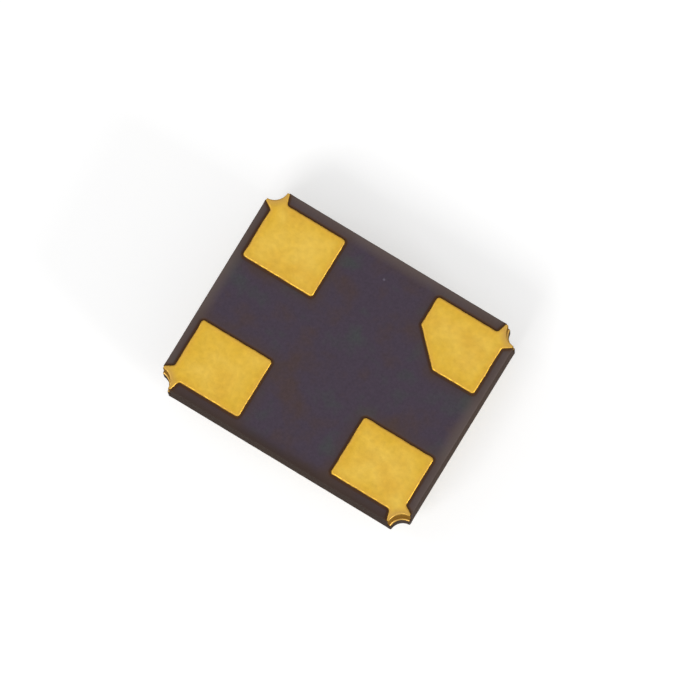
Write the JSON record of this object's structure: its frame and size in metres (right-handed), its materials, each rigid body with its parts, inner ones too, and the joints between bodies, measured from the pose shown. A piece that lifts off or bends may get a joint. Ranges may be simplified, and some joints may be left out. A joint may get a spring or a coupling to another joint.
{
  "type": "crystal oscillator",
  "caption": "Small surface-mount crystal oscillator: dark ceramic body with round corner notches, gold terminals underneath and a welded metal lid.",
  "frame": {"origin": "middle of the lid's outer face, which the part lies on upside down", "axes": "+X along the long side, +Y along the short side towards the indexed terminal, +Z from the lid to the terminals"},
  "size_m": [0.0024, 0.002, 0.0008],
  "materials": {
    "dark_alumina": "matte",
    "gold_terminal": "satin",
    "gold_plated_land": "satin",
    "gold_plated_alloy": "satin",
    "nickel_plated_alloy": "satin",
    "silver_copper_braze": "satin",
    "tungsten_conductor": "matte",
    "silicon": "polished",
    "silver_epoxy": "matte",
    "gold_wire": "gloss",
    "quartz": "gloss",
    "silver_film": "gloss"
  },
  "bodies": {
    "root": {"lid": "nickel_plated_alloy", "seal_ring": "gold_plated_alloy", "braze_ring": "silver_copper_braze", "seal_land": "gold_plated_land", "ceramic_base": "dark_alumina", "terminal_enable": "gold_terminal", "terminal_ground": "gold_terminal", "terminal_output": "gold_terminal", "terminal_supply": "gold_terminal", "lead_enable": "tungsten_conductor", "lead_ground": "tungsten_conductor", "lead_output": "tungsten_conductor", "lead_supply": "tungsten_conductor", "crystal_lead_a": "tungsten_conductor", "crystal_lead_b": "tungsten_conductor", "die_pad": "gold_plated_land", "die_attach": "silver_epoxy", "ic_die": "silicon", "wire_enable": "gold_wire", "wire_ground": "gold_wire", "wire_output": "gold_wire", "wire_supply": "gold_wire", "wire_crystal_a": "gold_wire", "wire_crystal_b": "gold_wire", "glue_dot_a": "silver_epoxy", "glue_dot_b": "silver_epoxy", "quartz_blank": "quartz", "lid_side_electrode": "silver_film", "chip_side_electrode": "silver_film"}
  },
  "joints": []
}
